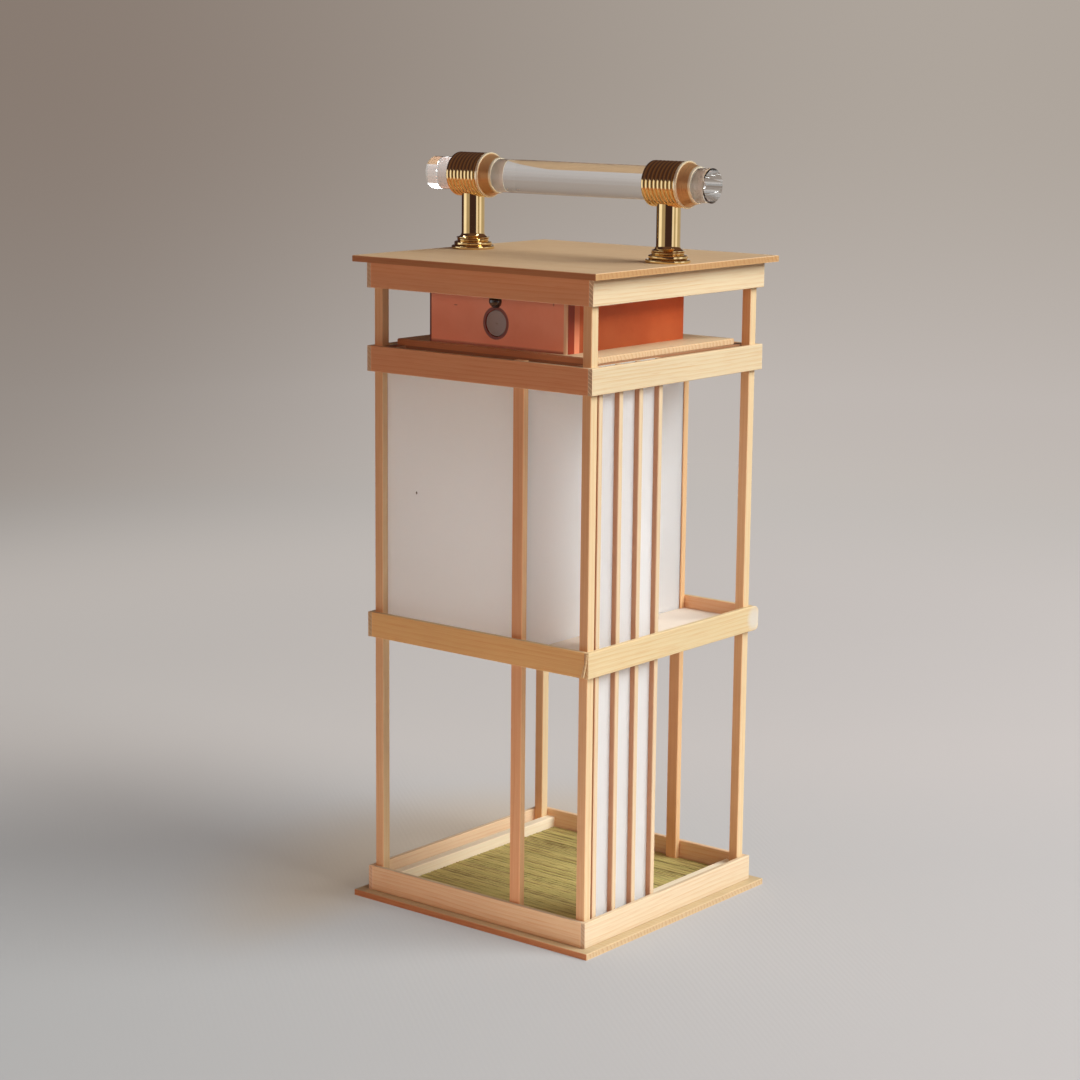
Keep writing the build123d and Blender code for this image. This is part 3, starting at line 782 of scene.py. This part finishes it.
def rushMaterial(s, low):
    material, bench = newMaterial("wovenRush")
    place = bench.place()
    at = bench.axes(place)
    row = ((at["y"] - low.y) / s["stalkPitch"]).op("FLOOR")
    own = bench.node("ShaderNodeTexWhiteNoise", {"noise_dimensions": "1D"}, {"W": row + 0.5})
    streak = bench.noise(bench.vector(at["x"] * 4.0, row * 7.13, 0.0), 1.0, 3.0, 0.6)
    fine = bench.noise(bench.vector(at["x"] * 120.0, at["y"] * 5200.0, at["z"] * 5200.0), 1.0, 2.0)
    patch = bench.noise(place, 32.0, 2.0)
    dry = (own * 0.45 + streak.rise(0.35, 0.7) * 0.45 + patch * 0.2).least(1.0)
    colour = bench.mix(dry, s["green"], s["straw"])
    colour = bench.mix(fine.rise(0.52, 0.8) * 0.35, colour, s["dark"])
    cut = streak.rise(0.6, 0.68) * streak.fall(0.7, 0.78)
    colour = bench.mix(cut * 0.22, colour, s["dark"])
    broken = bench.noise(bench.vector(at["x"] * 42.0, row * 3.1, 0.0), 1.0, 2.0).rise(0.4, 0.56)
    bundle = (row * s["bundle"] + own * 0.22).op("FRACT").rise(0.45, 0.8)
    colour = bench.mix(bundle * broken * 0.72, colour, s["groove"])
    # painted shade: darker low down among the stalks and on the core beneath them
    underShade = (at["z"] - low.z).fall(*s["underShadeHeights"])
    colour = bench.mix(underShade * 0.95, colour, s["dark"])
    bump = bench.bump(fine, 0.4, 0.00008)
    closeMaterial(bench, bench.principled(colour, 0.5 + fine * 0.3, bump))
    return material


def makeMat(s):
    low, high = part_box("tatami_mat")
    width, depth = high.x - low.x, high.y - low.y
    rows = int(depth / s["stalkPitch"])
    top = high.z - s["stalkHeight"] / 2 - s["wave"]
    ease = s["coreEase"]
    core = bmesh.new()  # pressed core under the stalks
    coreHigh = (high.x - ease, high.y - ease, top - s["stalkHeight"] * 0.12)
    addBlock(core, (low.x + ease, low.y + ease, low.z), coreHigh, ease)
    piece = addMesh("rush_mat", core, outwards=False)
    inputs = {
        "Width": width, "Count": rows, "Pitch": s["stalkPitch"], "Height": s["stalkHeight"],
        "Wave": s["wave"], "Warp": s["warpSpacing"], "Jitter": s["jitter"],
        "Start": (0.0, low.y + (depth - (rows - 1) * s["stalkPitch"]) / 2, top),
    }
    tree, bench, given = newGeometryTree("rushRows", inputs)
    sheet = bench.node("GeometryNodeMeshGrid", None, {
        "Size X": given.out("Width"), "Size Y": 1.0, "Vertices X": s["segments"] + 1, "Vertices Y": 7})
    at = bench.axes(bench.node("GeometryNodeInputPosition"))
    angle = at["y"] * math.tau
    wave = (at["x"] * math.tau / given.out("Warp")).op("SINE") * given.out("Wave")
    swell = bench.noise(bench.vector(at["x"] * 180.0, 3.0, 0.0), 1.0, 1.0) * 0.35 + 0.83
    deep = angle.op("COSINE") * given.out("Pitch") * 0.52 * swell
    tall = angle.op("SINE") * given.out("Height") * 0.5 * swell + wave
    rolled = bench.vector(at["x"], deep, tall)
    stalk = bench.node("GeometryNodeSetPosition", None, {"Geometry": sheet, "Position": rolled})
    stalk = bench.node("GeometryNodeMergeByDistance", None, {"Geometry": stalk, "Distance": weldDistance})
    stalk = bench.node("GeometryNodeSetShadeSmooth", None, {"Geometry": stalk, "Shade Smooth": True})
    line = pointRow(bench, given, bench.vector(0.0, given.out("Pitch"), 0.0))
    index = bench.node("GeometryNodeInputIndex")
    shake = bench.node("FunctionNodeRandomValue", {"data_type": "FLOAT_VECTOR"}, {
        0: (-0.2, -0.4, -1.0), 1: (0.2, 0.4, 1.0), "ID": index, "Seed": 5})
    scaled = {0: shake, "Scale": given.out("Jitter")}
    shaken = bench.node("ShaderNodeVectorMath", {"operation": "SCALE"}, scaled)
    line = bench.node("GeometryNodeSetPosition", None, {"Geometry": line, "Offset": shaken})
    flip = (index * 0.5).op("FRACT") * 4.0 - 1.0  # every other stalk runs the other way over the threads
    size = bench.vector(flip, 1.0, 1.0)
    placed = {"Points": line, "Instance": stalk, "Scale": size}
    stalks = bench.node("GeometryNodeInstanceOnPoints", None, placed)
    closeTree(bench, given, stalks, rushMaterial(s, low))
    growMesh(piece, tree, inputs)
    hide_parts("tatami_mat")
    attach(piece, "frame")


makeMat(matSettings)
print("rush mat woven")


turnSteps = 96


def turned(name, outline, axis, centre, segments=turnSteps, degrees=28.0, solid=False):
    # outline is (radius, distance along the axis); a solid one starts and ends on the axis
    shape = bmesh.new()
    rings = []
    for radius, travel in outline:
        ring = []
        for step in range(1 if solid and radius == 0.0 else segments):
            angle = step * math.tau / segments
            a, b = radius * math.cos(angle), radius * math.sin(angle)
            place = (travel, a, b) if axis == "x" else (a, b, travel)
            ring.append(shape.verts.new(Vector(place) + Vector(centre)))
        rings.append(ring)
    skin(shape, rings, loop=not solid)
    piece = addMesh(name, shape)
    smoothFaces(piece.data, degrees)
    return piece


def arc(centreRadius, centreTravel, size, start, end, steps):
    # points of a rounded corner, angles in degrees from the outward radius towards +travel
    points = []
    for step in range(steps + 1):
        angle = math.radians(start + (end - start) * step / steps)
        points.append((centreRadius + size * math.cos(angle), centreTravel + size * math.sin(angle)))
    return points


brassSettings = {
    "gold": (0.9, 0.67, 0.33),
    "deep": (0.82, 0.57, 0.25),
    "lining": (0.93, 0.87, 0.76),
    "tarnish": (0.42, 0.24, 0.1),
    "satin": (0.64, 0.35, 0.15),
    "satinRoughness": 0.22,
    "satinMetal": 0.62,
    "satinSoft": 0.0001,
    # painted highlight: a pale, partly diffuse rim before the cone
    "rim": (1.0, 0.89, 0.64),
    "rimRoughness": 0.18,
    "rimMetal": 0.55,
    "roughness": 0.03,
    "lines": 5200.0,
}


def brassMaterial(name, s, axis, centre, satin=None, bore=None):
    material, bench = newMaterial(name)
    place = bench.place()
    local = bench.node("ShaderNodeMapping", None, {"Vector": place, "Location": [-c for c in centre]})
    at = bench.axes(local)
    others = [a for a in "xyz" if a != axis]
    reach = distance(at[others[0]], at[others[1]])
    # lathe marks run round the axis
    turning = bench.noise(bench.vector(at[axis] * s["lines"], reach * s["lines"], 0.0), 1.0, 2.0)
    cloud = bench.noise(place, 190.0, 3.0)
    speck = bench.noise(place, 1500.0, 2.0).rise(0.66, 0.78)
    colour = bench.mix(cloud.rise(0.4, 0.75) * 0.5, s["gold"], s["deep"])
    colour = bench.mix(speck * 0.18, colour, s["tarnish"])
    rough = s["roughness"] + turning * 0.03 + cloud * 0.03 + speck * 0.08
    metallic = 1.0
    if satin:  # the cone is brushed between its rim and nose; the rim is painted pale and partly diffuse as a painted highlight
        start, end = satin
        soft = s["satinSoft"]
        brushed = at[axis].rise(start - soft, start + soft) * at[axis].fall(end - soft, end + soft)
        rim = (1.0 - brushed) * at[axis].rise(start - 0.0015, start - 0.0013)
        colour = bench.mix(brushed, bench.mix(rim, colour, s["rim"]), s["satin"])
        rough = rough + brushed * s["satinRoughness"] + rim * s["rimRoughness"]
        metallic = 1.0 - brushed * (1.0 - s["satinMetal"]) - rim * (1.0 - s["rimMetal"])
    if bore:  # pale sleeve round the rod
        sleeve = reach.fall(bore + 0.00002, bore + 0.00008)
        colour = bench.mix(sleeve, colour, s["lining"])
        rough = rough + sleeve * 0.6
        metallic = (1.0 - sleeve) * metallic
    bump = bench.bump(turning, 0.08, 0.00002)
    closeMaterial(bench, bench.principled(colour, rough, bump, {"Metallic": metallic}))
    return material


handleSettings = {
    "stemX": 0.048,
    "boardTop": 0.2574,
    "rodZ": 0.2868,
    "holeRadius": 0.0021, "rosetteTop": 0.0042,
    "rounding": 0.0004,
    "footRadius": 0.0086, "tierRadius": 0.0075, "shoulderRadius": 0.006,
    "stemRadius": 0.0046, "stemTop": 0.27945,
    "flareRadius": 0.0066, "flareHeight": 0.0019,
    "boreRadius": 0.00655,
    "collarRadius": 0.0087, "collarLead": 0.0072,
    "ribCount": 8, "ribPitch": 0.0018, "ribDepth": 0.00058,
    "rimRadius": 0.0089, "rimWidth": 0.0014,
    "neckWidth": 0.0006,
    "coneLength": 0.005, "coneStep": 0.0006, "coneHollow": 0.82,
    "noseRadius": 0.0069,
    "satinEnd": 0.0009,
}


def rosetteOutline(h):
    foot, shoulder, hole, r = h["footRadius"], h["shoulderRadius"], h["holeRadius"], h["rounding"]
    points = [(hole, 0.0), (foot - 0.0002, 0.0)]
    points += arc(foot - r, 0.0004, r, -60, 0, 4) + arc(foot - r, 0.0009, r, 0, 90, 5)
    tier = h["tierRadius"]  # a second disc stands on the foot, and the bead on that
    points += [(tier - 0.0003, 0.0014)]
    points += arc(tier - r, 0.0019, r, -50, 0, 4) + arc(tier - 0.0005, 0.0024, 0.0005, 0, 80, 6)
    points += [(shoulder + 0.0003, 0.0031)] + arc(shoulder - 0.0001, 0.0037, 0.00045, -60, 90, 9)
    return points + [(hole, h["rosetteTop"])]


def stemOutline(h):
    hole, flare, radius = h["holeRadius"], h["flareRadius"], h["stemRadius"]
    low = h["boardTop"] + h["rosetteTop"]
    points = [(hole, low), (flare - 0.0002, low), (flare, low + 0.0002)]
    for step in range(9):
        angle = step * math.pi / 16
        height = low + h["rounding"] + h["flareHeight"] * (1 - math.cos(angle))
        points.append((radius + (flare - radius) * (1 - math.sin(angle)), height))
    return points + [(radius, h["stemTop"]), (hole, h["stemTop"])]


def nutOutline(h, start):
    neck, rim, bore = h["collarRadius"] - h["ribDepth"], h["rimRadius"], h["boreRadius"]
    nose, length, r = h["noseRadius"], h["coneLength"], h["rounding"]
    face = start + h["neckWidth"]
    base = face + h["rimWidth"]
    points = [(bore, start), (neck, start), (neck, face), (rim - r, face)]
    points += arc(rim - r, face + r, r, -80, 0, 4) + arc(rim - r, base - r, r, 10, 60, 4)
    wide = rim - h["coneStep"]
    for step in range(11):  # slightly hollow cone
        t = step / 10
        points.append((wide - (wide - nose) * t ** h["coneHollow"], base + (length - r) * t))
    points += arc(nose - 0.0003, base + length - 0.0003, 0.0003, 10, 90, 4)
    return points + [(bore, base + length)]


def makeCollar(name, h, start, metal):
    # ends and bore are turned, the ribs are grown along them
    bore, outer, length = h["boreRadius"], h["collarRadius"], h["ribCount"] * h["ribPitch"]
    groove = outer - h["ribDepth"]
    shape = bmesh.new()
    rings = []
    for radius, travel in ((groove, 0.0), (bore, 0.0), (bore, length), (groove, length)):
        angles = [(step / turnSteps - 0.5) * math.tau for step in range(turnSteps)]
        places = [(start + travel, radius * math.sin(a), radius * math.cos(a) + h["rodZ"]) for a in angles]
        rings.append([shape.verts.new(place) for place in places])
    skin(shape, rings)
    piece = addMesh(name, shape, outwards=False)
    inputs = {
        "Count": h["ribCount"], "Pitch": h["ribPitch"], "Radius": outer, "Depth": h["ribDepth"],
        "Start": (start + h["ribPitch"] / 2, 0.0, h["rodZ"]),
    }
    tree, bench, given = newGeometryTree("collarRibs", inputs)
    tile = bench.node("GeometryNodeMeshGrid", None, {
        "Size X": given.out("Pitch"), "Size Y": 1.0, "Vertices X": 11, "Vertices Y": turnSteps + 1})
    at = bench.axes(bench.node("GeometryNodeInputPosition"))
    across = abs(at["x"] * 2.0 / given.out("Pitch"))
    reach = given.out("Radius") - given.out("Depth") * (across ** 4.0)
    angle = at["y"] * math.tau
    rolled = bench.vector(at["x"], reach * angle.op("SINE"), reach * angle.op("COSINE"))
    rib = bench.node("GeometryNodeSetPosition", None, {"Geometry": tile, "Position": rolled})
    line = pointRow(bench, given, bench.vector(given.out("Pitch"), 0.0, 0.0))
    ribs = bench.node("GeometryNodeInstanceOnPoints", None, {"Points": line, "Instance": rib})
    closeTree(bench, given, ribs, metal)
    growMesh(piece, tree, inputs)
    smoothFaces(piece.data, 38.0)
    return piece


def makeHandle(h, brass):
    rodCentre, bore = (0.0, 0.0, h["rodZ"]), h["boreRadius"]
    for side, x in (("left", -h["stemX"]), ("right", h["stemX"])):
        start = x - h["collarLead"]
        end = start + h["ribCount"] * h["ribPitch"]
        cone = end + h["neckWidth"] + h["rimWidth"]
        satin = (cone, cone + h["coneLength"] - h["satinEnd"])
        upright = brassMaterial("brassUpright_" + side, brass, "z", (x, 0.0, 0.0))
        level = brassMaterial("brassLevel_" + side, brass, "x", rodCentre, None, bore)
        nutMetal = brassMaterial("brassNut_" + side, brass, "x", rodCentre, satin, bore)
        rosette = turned("rosette_turned_" + side, rosetteOutline(h), "z", (x, 0.0, h["boardTop"]))
        upStem = turned("stem_turned_" + side, stemOutline(h), "z", (x, 0.0, 0.0))
        collar = makeCollar("collar_ribbed_" + side, h, start, level)
        nut = turned("nut_turned_" + side, nutOutline(h, end), "x", rodCentre)
        pieces = {
            "handle_rosette_": (rosette, upright), "handle_stem_": (upStem, upright),
            "ribbed_collar_": (collar, level), "cone_nut_": (nut, nutMetal),
        }
        for stem, (piece, metal) in pieces.items():
            paint(piece, metal)
            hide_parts(stem + side)
            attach(piece, "frame")


makeHandle(handleSettings, brassSettings)
print("brass brackets turned")


rodSettings = {
    "radius": 0.0065, "half": 0.068, "chamfer": 0.0004, "colour": (0.985, 0.99, 0.99), "ior": 1.49,
}


def makeRod(r, rodZ):
    half, radius, cut = r["half"], r["radius"], r["chamfer"]
    outline = [(0.0, -half), (radius - cut, -half), (radius, -half + cut)]
    outline += [(radius, half - cut), (radius - cut, half), (0.0, half)]
    rod = turned("rod_polished", outline, "x", (0.0, 0.0, rodZ), 128, 30.0, True)
    material, bench = newMaterial("clearAcrylic")
    place = bench.place()
    at = bench.axes(place)
    haze = bench.noise(bench.vector(at["x"] * 90.0, at["y"] * 900.0, at["z"] * 900.0), 1.0, 3.0)
    scratch = haze.rise(0.62, 0.75)
    bump = bench.bump(haze, 0.02, 0.00002)
    others = {"IOR": r["ior"], "Transmission Weight": 1.0}
    closeMaterial(bench, bench.principled((*r["colour"], 1.0), 0.004 + scratch * 0.02, bump, others))
    paint(rod, material)
    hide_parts("handle_rod")
    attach(rod, "frame")


makeRod(rodSettings, handleSettings["rodZ"])
print("clear rod polished")


def mouldedMaterial(name, colour, other, rough, blotch, grainScale, bumpDepth, metallic=0.0, coat=0.0,
                    ior=1.45):
    material, bench = newMaterial(name)
    place = bench.place()
    cloud = bench.noise(place, blotch, 4.0, 0.55)
    grain = bench.noise(place, grainScale, 2.0)
    tone = bench.mix(cloud.rise(0.35, 0.7), colour, other)
    bump = bench.bump(grain, 0.25, bumpDepth)
    others = {"Metallic": metallic, "Coat Weight": coat, "IOR": ior}
    closeMaterial(bench, bench.principled(tone, rough + cloud * 0.1 + grain * 0.06, bump, others))
    return material


plainParts = {
    # name, two colours, roughness, blotch scale, grain scale, bump depth, metallic, coat, refraction
    "light_diffuser": ("opalSheet", (0.83, 0.83, 0.8), (0.79, 0.79, 0.75), 0.4, 50.0, 2400.0, 0.00002),
    "circuit_board": ("greenLaminate", (0.045, 0.2, 0.09),
        (0.03, 0.15, 0.065), 0.38, 180.0, 3000.0, 0.00003),
    "led_chips": ("chipResin", (0.88, 0.76, 0.34), (0.82, 0.66, 0.24), 0.22, 700.0, 4000.0, 0.00001),
    "battery_cell": ("cellCase", (0.6, 0.61, 0.63), (0.52, 0.53, 0.56), 0.3, 90.0, 3400.0, 0.00002, 0.9),
    "switch_body": ("blackShell", (0.032, 0.032, 0.034),
        (0.024, 0.024, 0.026), 0.45, 200.0, 3600.0, 0.00003),
    "push_button": ("greyButton", (0.335, 0.318, 0.306),
        (0.28, 0.265, 0.252), 0.28, 160.0, 2600.0, 0.00002),
    "sensor_dome": ("blackLens", (0.018, 0.016, 0.016),
        (0.012, 0.01, 0.01), 0.02, 300.0, 3000.0, 0.000002, 0.0, 0.3, 1.8),
    "mounting_screws": ("screwSteel", (0.56, 0.56, 0.57),
        (0.48, 0.48, 0.5), 0.3, 400.0, 4200.0, 0.00002, 1.0),
    "collar_grub_screws": ("grubSteel", (0.3, 0.29, 0.29),
        (0.22, 0.21, 0.21), 0.34, 400.0, 4200.0, 0.00002, 1.0),
}
for name, values in plainParts.items():
    paint(name, mouldedMaterial(*values))

shellSettings = {
    "front": (1.0, 0.455, 0.29), "frontShade": (0.96, 0.405, 0.25),
    "side": (0.72, 0.15, 0.04), "sideShade": (0.64, 0.118, 0.03),
    "darkBand": (0.3, 0.036, 0.012), "flange": (0.86, 0.3, 0.16), "lip": (0.85, 0.64, 0.42),
    "darkBandWidth": 0.0041, "flangeWidth": 0.0031, "lipWidth": 0.002,
    "ring": (0.11, 0.014, 0.008), "ringSize": (0.006, 0.0065), "button": (-0.0005, 0.2342),
    "frontShadeFall": 0.08, "edgeSoft": 0.0002,
    "marks": ((-0.0204, 0.2398, 0.001, 0.0003), (0.0272, 0.2434, 0.0004, 0.001)),
}


def shellMaterial(s, low, high):
    material, bench = newMaterial("orangeShell")
    coords = bench.node("ShaderNodeTexCoord")
    place = coords.out("Object")
    at, facing = bench.axes(place), bench.axes(coords.out("Normal"))
    cloud = bench.noise(place, 55.0, 4.0, 0.6)
    grain = bench.noise(place, 2600.0, 2.0)
    front = (-facing["y"]).rise(0.5, 0.8)
    right = facing["x"].rise(0.5, 0.8)
    blotch = cloud.rise(0.35, 0.7)
    # painted shade: the sides are darker towards the bottom and the front
    deep = 0.52 + at["z"].rise(low.z, low.z + 0.018) * 0.62
    shadeRampSide = bench.grey(deep * (1.0 + at["y"].rise(-0.018, 0.024) * 0.36))
    side = bench.times(bench.mix(blotch, s["side"], s["sideShade"]), shadeRampSide)
    face = bench.mix(blotch, s["front"], s["frontShade"])
    # painted shade: the front darkens towards its right
    face = bench.times(face, bench.grey(1.0 - at["x"].rise(low.x, 0.004) * s["frontShadeFall"]))
    # painted shade: a dark ring in the gap round the button and a dark line along the foot of the front; the
    # two small marks are the shell's own
    dark = distance(at["x"] - s["button"][0], at["z"] - s["button"][1]).fall(*s["ringSize"])
    dark = dark.most((at["z"] - low.z).fall(0.0003, 0.0014) * 0.7)
    for x, z, wide, tall in s["marks"]:
        spot = ((at["x"] - x) / wide) ** 2.0 + ((at["z"] - z) / tall) ** 2.0
        dark = dark.most(spot.fall(0.4, 1.3) * 0.5)
    face = bench.mix(dark * 0.9, face, s["ring"])
    # at the right side's front, a dark band and then a paler, painted-lit band; on the front, a tan edge at
    # its right end
    fromFront, fromRight = at["y"] - low.y, high.x - at["x"]
    darkBandEnd, lipEnd, soft = s["darkBandWidth"], s["lipWidth"], s["edgeSoft"]
    flangeEnd = darkBandEnd + s["flangeWidth"]
    flange = right * fromFront.fall(flangeEnd - soft, flangeEnd)
    darkBand = right * fromFront.fall(darkBandEnd - soft, darkBandEnd)
    lip = front * fromRight.fall(lipEnd - soft, lipEnd)
    # the front is salmon and the sides deep orange: partly two finishes, partly painted shade on the sides
    colour = bench.mix(front, side, face)
    colour = bench.mix(flange, colour, s["flange"])
    colour = bench.mix(darkBand, colour, s["darkBand"])
    colour = bench.mix(lip, colour, s["lip"])
    # painted shade along the front's left edge, where it rounds away
    leftEdge = (at["x"] - low.x).fall(0.0011, 0.0016) * (-facing["y"]).rise(0.1, 0.35)
    colour = bench.mix(leftEdge * 0.92, colour, s["ring"])
    bump = bench.bump(grain, 0.2, 0.00003)
    closeMaterial(bench, bench.principled(colour, 0.42 + cloud * 0.12, bump))
    return material


paint("light_housing", shellMaterial(shellSettings, *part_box("light_housing")))
print("moulded parts finished")
